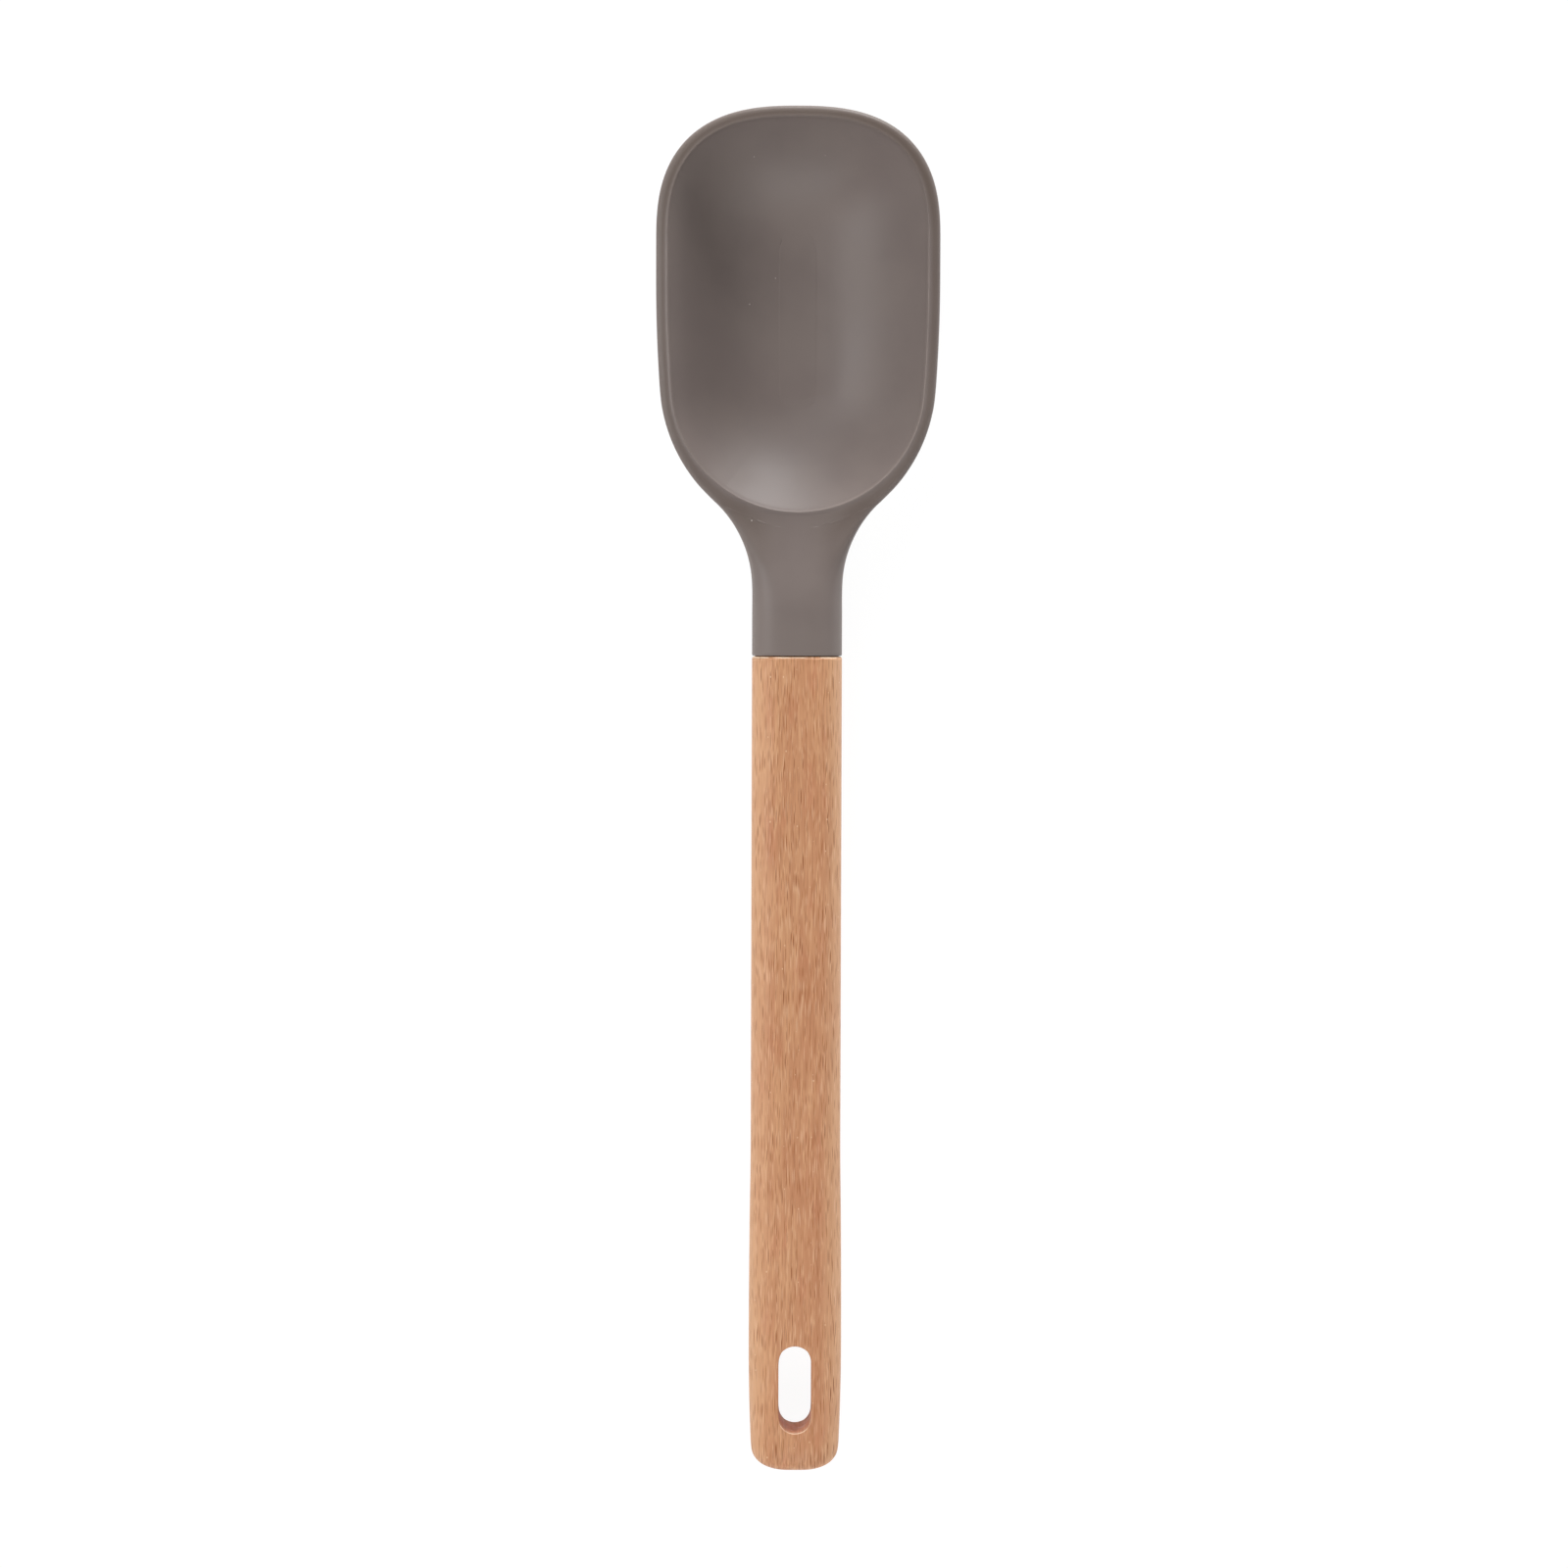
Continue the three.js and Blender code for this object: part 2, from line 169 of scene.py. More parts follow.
table_shape = bmesh.new()
bmesh.ops.create_circle(table_shape, cap_ends=True, segments=TABLE_SIDES, radius=TABLE_RADIUS)
rim = bmesh.ops.extrude_edge_only(table_shape, edges=table_shape.edges)["geom"]
rim = [item for item in rim if isinstance(item, bmesh.types.BMVert)]
bmesh.ops.translate(table_shape, verts=rim, vec=(0, 0, TABLE_RIM))
bmesh.ops.translate(table_shape, verts=table_shape.verts, vec=(0, 0, -TABLE_DROP))
table_mesh = bpy.data.meshes.new("white_table")
table_shape.to_mesh(table_mesh)
table_shape.free()
table_mesh.materials.append(table_material)
table = bpy.data.objects.new("white_table", table_mesh)
scene.collection.objects.link(table)
print("table", 2 * TABLE_RADIUS, "m across")

# %% [markdown]
# We can't see the lamps in the photograph, so ours are chosen to give the tones that it shows on the
# silicone. Many lamps were rendered one at a time, and a least-squares fit found the mix that came nearest.
# Its strengths were rounded, and corrected after more renders. Two wide lamps low beyond the tip light the
# wall at the neck end of the bowl. Two high on the left light the left edges of neck and handle and leave the
# left wall dark. Weaker ones fill in from high beyond the tip and from the butt, and a narrow strip low on
# the right lights the right edges.

# %% Room and lamps
ROOM_LIGHT = 0.01
LAMP_TARGET, LAMP_DISTANCE = Vector((0, 0.05, 0)), 1.1
world = bpy.data.worlds.new("studio")
world.use_nodes = True
scene.world = world
tree = world.node_tree
tree.nodes.clear()
room = add_node(tree, "Background", Color=grey(1.0), Strength=ROOM_LIGHT)
add_node(tree, "OutputWorld", Surface=room.outputs[0])


def soft_lamp(name, turn, rise, size, watts):
    """A lamp in the direction given by two angles: turn from +X towards +Y, rise from the table."""
    turn, rise = math.radians(turn), math.radians(rise)
    lamp = bpy.data.lights.new(name, "AREA")
    lamp.shape = "RECTANGLE"
    lamp.size, lamp.size_y = size
    lamp.energy = watts
    holder = bpy.data.objects.new(name, lamp)
    way = Vector((math.cos(rise) * math.cos(turn), math.cos(rise) * math.sin(turn), math.sin(rise)))
    holder.location = LAMP_TARGET + LAMP_DISTANCE * way
    holder.rotation_euler = way.to_track_quat("Z", "Y").to_euler()
    scene.collection.objects.link(holder)


soft_lamp("lamp_beyond_tip_right", turn=70, rise=10, size=(0.55, 0.35), watts=7.0)
soft_lamp("lamp_beyond_tip", turn=85, rise=10, size=(0.55, 0.35), watts=5.2)
soft_lamp("lamp_high_tip", turn=105, rise=45, size=(0.55, 0.35), watts=1.7)
soft_lamp("lamp_tip_left", turn=155, rise=43, size=(0.6, 0.4), watts=2.8)
soft_lamp("lamp_left", turn=180, rise=43, size=(0.6, 0.4), watts=3.5)
soft_lamp("lamp_butt", turn=270, rise=41, size=(0.6, 0.4), watts=4.6)
soft_lamp("lamp_butt_right", turn=330, rise=45, size=(0.5, 0.3), watts=1.8)
soft_lamp("lamp_low_right", turn=0, rise=4, size=(0.6, 0.08), watts=0.6)

# %% [markdown]
# ## The head's outline
#
# Seen from above, the head is a chain of arcs that run smoothly into each other: a straight neck, a hollow
# flare, a round shoulder, a long side and a blunt tip. We work in millimetres and call the distance from
# the collar's face "along". Only a few sizes are given. The rest follows from the arcs being tangent.

# %% Outline sizes
NECK_HALF, NECK_STRAIGHT = 10.55, 15.7
FLARE_RADIUS, SHOULDER_RADIUS, SIDE_RADIUS = 27.3, 38.2, 352
HEAD_HALF, SIDE_TURN, SIDE_STRAIGHT = 33.2, math.radians(4.3), 9.1
TIP_LENGTH, TIP_POWER = 31, 2.6
RIM_WIDTH, HOLLOW_LEAD = 2.7, 1.25

side_middle = HEAD_HALF - SIDE_RADIUS
shoulder_middle = side_middle + (SIDE_RADIUS - SHOULDER_RADIUS) * math.cos(SIDE_TURN)
flare_middle = NECK_HALF + FLARE_RADIUS
flare_turn = math.acos((flare_middle - shoulder_middle) / (SHOULDER_RADIUS + FLARE_RADIUS))
flare_end = NECK_STRAIGHT + FLARE_RADIUS * math.sin(flare_turn)
flare_half = flare_middle - FLARE_RADIUS * math.cos(flare_turn)
shoulder_level = flare_end + SHOULDER_RADIUS * math.sin(flare_turn)
shoulder_end = shoulder_level - SHOULDER_RADIUS * math.sin(SIDE_TURN)
side_end = shoulder_end + SIDE_RADIUS * math.sin(SIDE_TURN)
tip_start = side_end + SIDE_STRAIGHT
head_length = tip_start + TIP_LENGTH

hollow_start = shoulder_end + HOLLOW_LEAD
hollow_turn = math.atan2(side_end - hollow_start, -side_middle)
hollow_radius = SIDE_RADIUS - RIM_WIDTH + side_middle / math.cos(hollow_turn)
collar_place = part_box("silicone_head")[1].y / MM - head_length
print(f"head {head_length:.1f} mm long, collar at y = {collar_place:.2f} mm")

# %% [markdown]
# From these sizes follows how wide the head is anywhere along its length. Each part of the outline is an arc,
# so Pythagoras gives the width from the arc's middle and radius.


# %% Half the width at a distance along
def half_width(along):
    if along <= NECK_STRAIGHT:
        return NECK_HALF
    if along <= flare_end:
        return flare_middle - math.sqrt(FLARE_RADIUS**2 - (along - NECK_STRAIGHT) ** 2)
    if along <= shoulder_end:
        return shoulder_middle + math.sqrt(SHOULDER_RADIUS**2 - (shoulder_level - along) ** 2)
    return side_middle + math.sqrt(SIDE_RADIUS**2 - (side_end - along) ** 2)


print(f"half width at the neck {half_width(0):.2f}, where the side begins {half_width(shoulder_end):.2f}")

# %% [markdown]
# ## The head's heights
#
# From the side, the top falls from the neck to the rim, and the underside swells from the neck down to a
# small flat sole that rests on the table. The section changes with it: an oval like the handle's at the
# collar, a flat rim over a round hull at the bowl.

# %% Heights
COLLAR_HEIGHT, HALF_THICKNESS = 14.6, 7.25
RIM_HEIGHT, TIP_RISE, RIM_ROUND = 19.5, 1.8, 1.6
FLOOR_HEIGHT, HOLLOW_POWER, HOLLOW_END_POWER = 3.8, 2.3, 1.8
OVAL_FLAT, OVAL_POWER = 1 / 3, 2.3
SOLE_SHARE, HULL_POWER, HULL_ROOT, RIM_POWER = 0.14, 1.9, 0.85, 30
LEAN = math.radians(2.2713)


def blend(first, second, share):
    return first + (second - first) * share


def ease(value, low, high):
    share = min(max((value - low) / (high - low), 0), 1)
    return share * share * (3 - 2 * share)


def axis_height(along):
    return COLLAR_HEIGHT + along * math.tan(LEAN)


def top_share(along):
    return ease(along, NECK_STRAIGHT / 2, hollow_start - hollow_radius)


def rim_top(along):
    share = max(along - hollow_start, 0) / (head_length - hollow_start)
    return RIM_HEIGHT + TIP_RISE * share**2


def crest(along):
    return blend(axis_height(along) + HALF_THICKNESS, rim_top(along), top_share(along))


def keel(along):
    return (1 - ease(along, NECK_STRAIGHT, hollow_start)) * (axis_height(along) - HALF_THICKNESS)


def edge_height(along):
    return blend(axis_height(along), rim_top(along) - RIM_ROUND, top_share(along))


rim_ends = rim_top(hollow_start), rim_top(head_length)
print(f"neck top {crest(0):.1f}, rim {rim_ends[0]:.1f} to {rim_ends[1]:.1f} mm above the table")

# %% [markdown]
# The skin runs from the edge, where top and underside meet, to the crest above or the keel below. The curve
# between is a rounded one, and its power grows from the neck's soft oval to the bowl's flat rim. At the
# collar the head leans like the handle, so points there shift back a little with their height.


# %% Height of the skin
def skin_height(along, reach, upper):
    """Height of the top or the underside, reach being 0 on the axis and 1 on the outline."""
    top = top_share(along)
    bottom = ease(along, NECK_STRAIGHT / 2, hollow_start)
    if upper:
        flat, power = OVAL_FLAT, blend(OVAL_POWER, RIM_POWER, top**4)
        root, far = blend(1 / OVAL_POWER, 1 / 2, top), crest(along)
    else:
        flat, power = blend(OVAL_FLAT, SOLE_SHARE, bottom), blend(OVAL_POWER, HULL_POWER, bottom)
        root, far = blend(1 / OVAL_POWER, HULL_ROOT, bottom), keel(along)
    share = min(max((reach - flat) / (1 - flat), 0), 1)
    return blend(edge_height(along), far, (1 - share**power) ** root)


def skin_point(across, along, station, reach, upper):
    height = skin_height(station, reach, upper)
    lean_back = (height - axis_height(station)) * math.tan(LEAN) * (1 - top_share(station))
    return Vector((across, along - lean_back, height))


print(f"edge of the bowl at {skin_height(hollow_start, 1, True):.1f} mm")

# %% [markdown]
# ## Columns round the bowl
#
# We want the mesh lines to run round the bowl, from the floor up to the lip, over the rim and down the
# hull. So we plan columns like the staves of a tub. Each has a point on the rim's outer edge, one on the
# lip of the hollow, and a root on the axis. Near the neck all columns fan out from one root, and further on
# the roots move along the axis.

# %% Kinds of columns
Column = namedtuple("Column", "rim lip root")
fan_centre = Vector((0, hollow_start))
neck_arc = (Vector((flare_half, flare_end)) - fan_centre).length


def root_place(along):
    if along <= hollow_start:
        return hollow_start
    spread = (head_length - hollow_start) / (tip_start - hollow_start)
    share = (along - hollow_start) / (head_length - hollow_start)
    return blend(hollow_start, tip_start, 1 - (1 - share) ** spread)


def fan_column(angle, reach):
    ray = Vector((math.sin(angle), -math.cos(angle)))
    return Column(fan_centre + reach * ray, fan_centre + hollow_radius * ray, hollow_start)


def shoulder_reach(angle):
    ray = Vector((math.sin(angle), -math.cos(angle)))
    offset = Vector((shoulder_middle, shoulder_level)) - fan_centre
    near = ray.dot(offset)
    return near + math.sqrt(near**2 - offset.length_squared + SHOULDER_RADIUS**2)


def outer_column(rim, lip):
    return Column(Vector(rim), Vector(lip), root_place(rim[1]))


print(f"roots of the columns: {hollow_start:.1f} to {root_place(head_length):.1f} mm from the collar")

# %% [markdown]
# The right half of the outline is planned piece by piece: across the neck, round the shoulder, along the
# rounded and the straight side, and round the tip. The left half is its mirror image.

# %% Columns
NECK_REACHES = (0, 0.38, 0.68, 0.87, 0.97, 1)
SHOULDER_STEPS, SIDE_STEPS, STRAIGHT_STEPS, TIP_STEPS = 7, 5, 2, 11
TIP_EVENNESS = 1.3


def steps(start, end, count):
    return [blend(start, end, (i + 1) / count) for i in range(count)]


def right_columns():
    columns = [fan_column(math.asin(reach * flare_half / neck_arc), neck_arc) for reach in NECK_REACHES]
    flare_angle = math.asin(flare_half / neck_arc)
    for angle in steps(flare_angle, math.pi / 2 - hollow_turn, SHOULDER_STEPS):
        columns.append(fan_column(angle, shoulder_reach(angle)))
    for turn in steps(hollow_turn, 0, SIDE_STEPS):
        ray, middle = Vector((math.cos(turn), -math.sin(turn))), Vector((side_middle, side_end))
        columns.append(outer_column(middle + SIDE_RADIUS * ray, middle + (SIDE_RADIUS - RIM_WIDTH) * ray))
    for along in steps(side_end, tip_start, STRAIGHT_STEPS):
        columns.append(outer_column((HEAD_HALF, along), (HEAD_HALF - RIM_WIDTH, along)))
    for share in steps(0, 1, TIP_STEPS):
        near, far = (1 - share) ** TIP_EVENNESS, share**TIP_EVENNESS
        angle = math.pi / 2 * far / (near + far)
        across = max(math.cos(angle), 0) ** (2 / TIP_POWER) if share < 1 else 0
        ahead = math.sin(angle) ** (2 / TIP_POWER)
        rim = (HEAD_HALF * across, tip_start + TIP_LENGTH * ahead)
        lip = ((HEAD_HALF - RIM_WIDTH) * across, tip_start + (TIP_LENGTH - RIM_WIDTH) * ahead)
        columns.append(outer_column(rim, lip))
    return columns


def turned(column):
    flip = Vector((-1, 1))
    return Column(column.rim * flip, column.lip * flip, column.root)


right = right_columns()
columns = right + [turned(column) for column in right[-2:0:-1]]
neck_count = len(NECK_REACHES) - 1
print(len(columns), "columns, of which", 2 * neck_count + 1, "run into the neck")

# %% [markdown]
# ## The bowl
#
# Each vertex of the bowl lies on a column, at a share of its way: from the root up to the lip in the hollow,
# from the lip to the edge on the rim, and from the root to the edge again on the hull. These helpers find its
# place. The lip stands up by a hair.

# %% Points of the bowl
LIP_RISE = 0.12


def hollow_height(share, neckward, top):
    """Height in the hollow: share is 0 on the floor and 1 at the lip, neckward is 1 towards the neck."""
    power = blend(HOLLOW_POWER, HOLLOW_END_POWER, max(neckward, 0))
    return blend(FLOOR_HEIGHT, top, share**power)


def hollow_point(column, share):
    plan = blend(Vector((0, column.root)), column.lip, share)
    neckward = (hollow_start - column.lip.y) / hollow_radius
    height = hollow_height(share, neckward, rim_top(column.lip.y))
    return Vector((plan.x, plan.y, height + (LIP_RISE if share == 1 else 0)))


def plan_point(column, plan, upper):
    if plan.y < hollow_start:
        return skin_point(plan.x, plan.y, plan.y, min(abs(plan.x) / half_width(plan.y), 1), upper)
    root = Vector((0, column.root))
    reach = (plan - root).length / (column.rim - root).length
    return skin_point(plan.x, plan.y, column.rim.y, min(reach, 1), upper)


def rim_point(column, share):
    return plan_point(column, blend(column.lip, column.rim, share), True)


def hull_point(column, share):
    return plan_point(column, blend(Vector((0, column.root)), column.rim, share), False)


print(f"outer edge of the rim at the tip: {rim_point(right[-1], 1).z:.1f} mm above the table")

# %% [markdown]
# Two values go along with the vertices for the finish: how much the lip is rubbed and lightened by a painted
# highlight, and how much painted shade darkens the thin rim. Both change softly from place to place, because a
# hard border would show.

# %% Values for the finish
# the lip's rubbing and painted highlight are weaker on the left side
LEFT_RUB_AND_HIGHLIGHT = 0.4
# strengths of the painted shade on the rim at the sides and at the tip, and how it fades towards the outer
# edge
SIDE_SHADE, TIP_SHADE, OUTER_FADE, OUTER_START = 0.57, 0.85, 0.85, 0.5
SIDE_FLAT, TIP_FLAT = (0.1, 0.5), (-0.2, 0.3)
AXIS_FADE, NECK_SIDE = (0.2, 0.7), 0.85


def rim_shade_amount(number, share):
    """How much painted shade darkens the rim: most at the tip, less on its outer edge, none on the neck's
    axis.
    """
    number = min(number, len(columns) - number)
    reach = NECK_REACHES[number] if number <= neck_count else 1
    tip = ease(columns[number].lip.y, tip_start - TIP_LENGTH / 6, tip_start + TIP_LENGTH / 2)
    flat = ease(share, *[blend(side, end, tip) for side, end in zip(SIDE_FLAT, TIP_FLAT)])
    outer = 1 - OUTER_FADE * ease(share, OUTER_START, 1) * ease(reach, NECK_SIDE, 1)
    return flat * outer * ease(reach, *AXIS_FADE) * blend(SIDE_SHADE, TIP_SHADE, tip)


def lip_rub_and_highlight(column):
    """How much the lip is rubbed and lightened by a painted highlight: most on the right side, not at all
    round the tip.
    """
    along = 1 - ease(column.lip.y, side_end, tip_start + TIP_LENGTH / 5)
    return along * blend(LEFT_RUB_AND_HIGHLIGHT, 1, ease(column.lip.x, -HEAD_HALF / 2, HEAD_HALF / 2))


print(f"tint at the tip: {rim_shade_amount(len(right) - 1, 0.5):.2f}")

# %% [markdown]
# The mesh starts as one ring of vertices low in the hollow. Each ring is extruded from the last and moved
# to its place, so every vertex keeps its column number. The rings stand close together at the lip and at the
# rim's edge, because a subdivision surface makes a tight curve only where its lines are close.

# %% Rings of the bowl
HOLLOW_SHARES = (0.16, 0.28, 0.41, 0.54, 0.66, 0.77, 0.87, 0.94, 0.982, 1)
RIM_SHARES = (0.16, 0.4, 0.62, 0.8, 0.93, 1)
HULL_SHARES = (0.982, 0.95, 0.9, 0.83, 0.74, 0.63, 0.5, 0.36, 0.22, 0.14)

head = bmesh.new()
column_of = head.verts.layers.int.new("column")
row_of = head.verts.layers.int.new("row")
rub_and_highlight = head.verts.layers.float.new("rub_and_highlight")
rim_painted_shade = head.verts.layers.float.new("rim_painted_shade")


def add_ring(mesh, edges):
    grown = bmesh.ops.extrude_edge_only(mesh, edges=edges)["geom"]
    verts = [item for item in grown if isinstance(item, bmesh.types.BMVert)]
    fresh = set(verts)
    links = [item for item in grown if isinstance(item, bmesh.types.BMEdge)]
    return verts, [link for link in links if fresh.issuperset(link.verts)]


verts = bmesh.ops.create_circle(head, segments=len(columns), radius=1)["verts"]
for number, vert in enumerate(verts):
    vert[column_of] = number
    vert.co = hollow_point(columns[number], HOLLOW_SHARES[0])
floor_edges = edges = list(head.edges)
rings = [(hollow_point, share) for share in HOLLOW_SHARES[1:]]
rings += [(rim_point, share) for share in RIM_SHARES]
rings += [(hull_point, share) for share in HULL_SHARES]
for row, (place, share) in enumerate(rings):
    verts, edges = add_ring(head, edges)
    on_lip = place is hollow_point and share == 1
    for vert in verts:
        column = columns[vert[column_of]]
        vert[row_of] = row
        vert.co = place(column, share)
        # the lip is rubbed and lightened by a painted highlight
        vert[rub_and_highlight] = lip_rub_and_highlight(column) if on_lip else 0.0
        # painted shade on the lip and the rim
        vert[rim_painted_shade] = 0.0
        if on_lip or place is rim_point:
            vert[rim_painted_shade] = rim_shade_amount(vert[column_of], 0 if on_lip else share)
sole_edges = edges
print(len(head.faces), "faces in the wall of the bowl")

# %% [markdown]
# The open floor and the open sole are each closed with a grid. A grid needs two facing rows of edges: the
# long left and right sides of the opening. It finds its way across the two ends by itself.

# %% Floor and sole
GRID_CORNER = 7


def fill_grid(mesh, ring_edges):
    last = len(right) - 1 - GRID_CORNER
    count = len(columns)

    def is_side(edge):
        numbers = [vert[column_of] for vert in edge.verts]
        return all(GRID_CORNER <= min(n, count - n) <= last for n in numbers)

    sides = [edge for edge in ring_edges if is_side(edge)]
    faces = bmesh.ops.grid_fill(mesh, edges=sides, mat_nr=0, use_smooth=True)["faces"]
    rim = {vert for edge in ring_edges for vert in edge.verts}
    return {vert for face in faces for vert in face.verts} - rim


for vert in fill_grid(head, floor_edges):
    spine = min(max(vert.co.y, hollow_start), tip_start)
    reach = math.hypot(vert.co.x, vert.co.y - spine)
    neckward = (spine - vert.co.y) / reach if reach else 0
    vert.co.z = hollow_height(reach / hollow_radius, neckward, RIM_HEIGHT)
for vert in fill_grid(head, sole_edges):
    vert.co.z = keel(vert.co.y)
bmesh.ops.recalc_face_normals(head, faces=head.faces)
print(len(head.faces), "faces in the closed bowl")

# %% [markdown]
# ## The neck
#
# Between the rim's edge and the first ring of the hull, the columns of the neck leave a strip of faces.
# We extrude that strip towards the collar, station by station. Each station lies on the same skin as the
# bowl, so the neck grows out of it without a seam, and the strip ends as the collar's face. The stations
# stand close together at first, like the rings of the rim, and then further and further apart.

# %% Stations of the neck
NECK_SHARES = (0.012, 0.035, 0.08, 0.16, 0.28, 0.42, 0.56, 0.7, 0.85, 1)
COLLAR_RINGS = ((1.0, 0.0), (0.25, 0.0), (0.0, 0.2))  # distance from the collar's face, and how far in
neck_start, neck_end = hollow_start - neck_arc, NECK_STRAIGHT / 8
edge_row = len(HOLLOW_SHARES) - 1 + len(RIM_SHARES) - 1
neck_bow = flare_end - neck_start


def is_strip(face):
    rows = {vert[row_of] for vert in face.verts}
    ends = [min(vert[column_of], len(columns) - vert[column_of]) for vert in face.verts]
    return rows == {edge_row, edge_row + 1} and max(ends) <= neck_count


def pull_strip(mesh, faces):
    grown = bmesh.ops.extrude_face_region(mesh, geom=faces)["geom"]
    bmesh.ops.delete(mesh, geom=faces, context="FACES")
    return [item for item in grown if isinstance(item, bmesh.types.BMFace)]


def neck_place(vert, middle, bow, inset):
    number = vert[column_of]
    side = 1 if number <= neck_count else -1
    upper = vert[row_of] == edge_row
    reach = NECK_REACHES[min(number, len(columns) - number)] * (1 if upper else HULL_SHARES[0])
    along = middle + bow * reach**2
    point = skin_point(side * reach * half_width(along), along, along, reach, upper)
    height = blend(point.z, axis_height(along), inset / HALF_THICKNESS)
    return Vector((point.x * (1 - inset / NECK_HALF), point.y, height))


strip = [face for face in head.faces if is_strip(face)]
stations = [(blend(neck_start, neck_end, share), neck_bow * (1 - share) ** 2, 0.0) for share in NECK_SHARES]
stations += [(middle, 0.0, inset) for middle, inset in COLLAR_RINGS]
for middle, bow, inset in stations:
    strip = pull_strip(head, strip)
    for vert in {vert for face in strip for vert in face.verts}:
        vert.co = neck_place(vert, middle, bow, inset)
        # the painted shade runs on from the rim down the edges of the flare
        if vert[row_of] == edge_row:
            vert[rim_painted_shade] = rim_shade_amount(vert[column_of], 1) * ease(middle, NECK_STRAIGHT, neck_start)
print(len(head.faces), "faces with the neck")

# %% [markdown]
# The collar's face has a hole where the tang of the core comes out. An inset gives the face a border, and
# the inner part is turned into a circle and pushed back into the neck.

# %% Socket in the collar
SOCKET_RADIUS, SOCKET_DEPTHS = 4.2, (0.4, 6.0, 17.0, 17.6)
FACE_BORDER, FACE_INSETS = 0.8, 2
for _ in range(FACE_INSETS):
    bmesh.ops.inset_region(head, faces=strip, thickness=FACE_BORDER, use_even_offset=True)
for depth in (0.0,) + SOCKET_DEPTHS:
    if depth:
        strip = pull_strip(head, strip)
    for vert in {vert for face in strip for vert in face.verts}:
        if not depth:
            spread = Vector((vert.co.x, vert.co.z - COLLAR_HEIGHT)).normalized() * SOCKET_RADIUS
            vert.co = (spread.x, -spread.y * math.tan(LEAN), COLLAR_HEIGHT + spread.y)
        else:
            vert.co.y = depth - (vert.co.z - COLLAR_HEIGHT) * math.tan(LEAN)
print(len(head.faces), "faces with the socket")

# %% [markdown]
# A subdivision surface shrinks a little inside its cage. To bring the smooth skin back to the planned points,
# each vertex is moved out by as much as the skin falls short there. A second round evens out what is left.


# %% Fit the smooth skin
def limit_point(vert):
    """The place on the smooth skin that a vertex with only four-sided faces round it ends up at."""
    count = len(vert.link_edges)
    total = count * count * vert.co
    for edge in vert.link_edges:
        total += 4 * edge.other_vert(vert).co
    for face in vert.link_faces:
        corners = list(face.verts)
        total += corners[(corners.index(vert) + 2) % 4].co
    return total / (count * (count + 5))


def fit_skin(mesh, rounds=2, share=0.9):
    planned = {vert: vert.co.copy() for vert in mesh.verts
               if not vert.is_boundary and all(len(face.verts) == 4 for face in vert.link_faces)}
    for _ in range(rounds):
        moves = {vert: share * (point - limit_point(vert)) for vert, point in planned.items()}
        for vert, move in moves.items():
            vert.co += move
    return max(move.length for move in moves.values())


print(f"last correction of the skin: {fit_skin(head):.3f} mm at most")

# %% [markdown]
# Now the mesh becomes an object, in metres and in its place, with a subdivision. Two calls tell the frame
# about it: the body that it rides on, and the CAD node that it replaces.

# %% Finish the head
SMOOTH_LEVELS, MERGE_DISTANCE = 2, 0.001


def finish_piece(mesh, name, place):
    bmesh.ops.remove_doubles(mesh, verts=mesh.verts, dist=MERGE_DISTANCE)
    bmesh.ops.recalc_face_normals(mesh, faces=mesh.faces)
    bmesh.ops.transform(mesh, matrix=place, verts=mesh.verts)
    for face in mesh.faces:
        face.smooth = True
    data = bpy.data.meshes.new(name)
    mesh.to_mesh(data)
    mesh.free()
    piece = bpy.data.objects.new(name, data)
    scene.collection.objects.link(piece)
    smooth = piece.modifiers.new("smooth_skin", "SUBSURF")
    smooth.levels = smooth.render_levels = SMOOTH_LEVELS
    return piece


to_metres = Matrix.Scale(MM, 4)
spoon_head = finish_piece(head, "spoon_head", to_metres @ Matrix.Translation((0, collar_place, 0)))
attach(spoon_head, "root")
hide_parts("silicone_head")
print("head:", len(spoon_head.data.polygons), "faces before smoothing")

# %% [markdown]
# ## The handle
#
# The handle is a beech bar with a flattened oval section, a domed butt and a slot to hang it by. We plan it
# in its own frame, with the joint at the origin. It swells a little towards the butt. The points of the
# section are given as shares of its half width, from the round side to the flat.

# %% Section of the bar
HANDLE_LENGTH, SWELL_HALF, BUTT_HALF = 192, 10.9, 10.05
SWELL_PLACE, SWELL_REACH = 30, 75
OVAL_TURNS = (0, 15, 30, 45, 60, 75)
OVAL_REACHES = [blend(OVAL_FLAT, 1, math.cos(math.radians(turn))) for turn in OVAL_TURNS]
patch_half = OVAL_REACHES[-1]
OVAL_REACHES += [blend(patch_half, OVAL_FLAT, 0.5), OVAL_FLAT, OVAL_FLAT / 2]
bar_sides = 4 * len(OVAL_REACHES)
BarRing = namedtuple("BarRing", "along half thick")


def bar_half(from_butt):
    end, room = BUTT_HALF, SWELL_PLACE
    if from_butt > SWELL_PLACE:
        end, room = NECK_HALF, SWELL_REACH - SWELL_PLACE
    return blend(SWELL_HALF, end, min(abs(from_butt - SWELL_PLACE) / room, 1) ** 2)


def oval_point(number, ring):
    quarter, place = divmod(number, bar_sides // 4)
    if quarter in (1, 3):
        place = bar_sides // 4 - place
    reach = OVAL_REACHES[place] if place < len(OVAL_REACHES) else 0
    side = 1 if quarter in (0, 3) else -1
    share = max((reach - OVAL_FLAT) / (1 - OVAL_FLAT), 0)
    height = ring.thick * max(1 - share**OVAL_POWER, 0) ** (1 / OVAL_POWER)
    return Vector((side * reach * ring.half, ring.along, height if quarter < 2 else -height))


print(bar_sides, "points round the bar")

# %% [markdown]
# Then we list the rings along the bar: its front edge, the long bar, even steps where the slot will go, and
# the domed butt. The front edge is eased with sandpaper, and a value tells the finish how pale the wood is.

# %% Rings of the bar
BUTT_ROUND, BUTT_POWER, BUTT_STEPS, BUTT_END = 6.4, 2.7, 7, 0.92
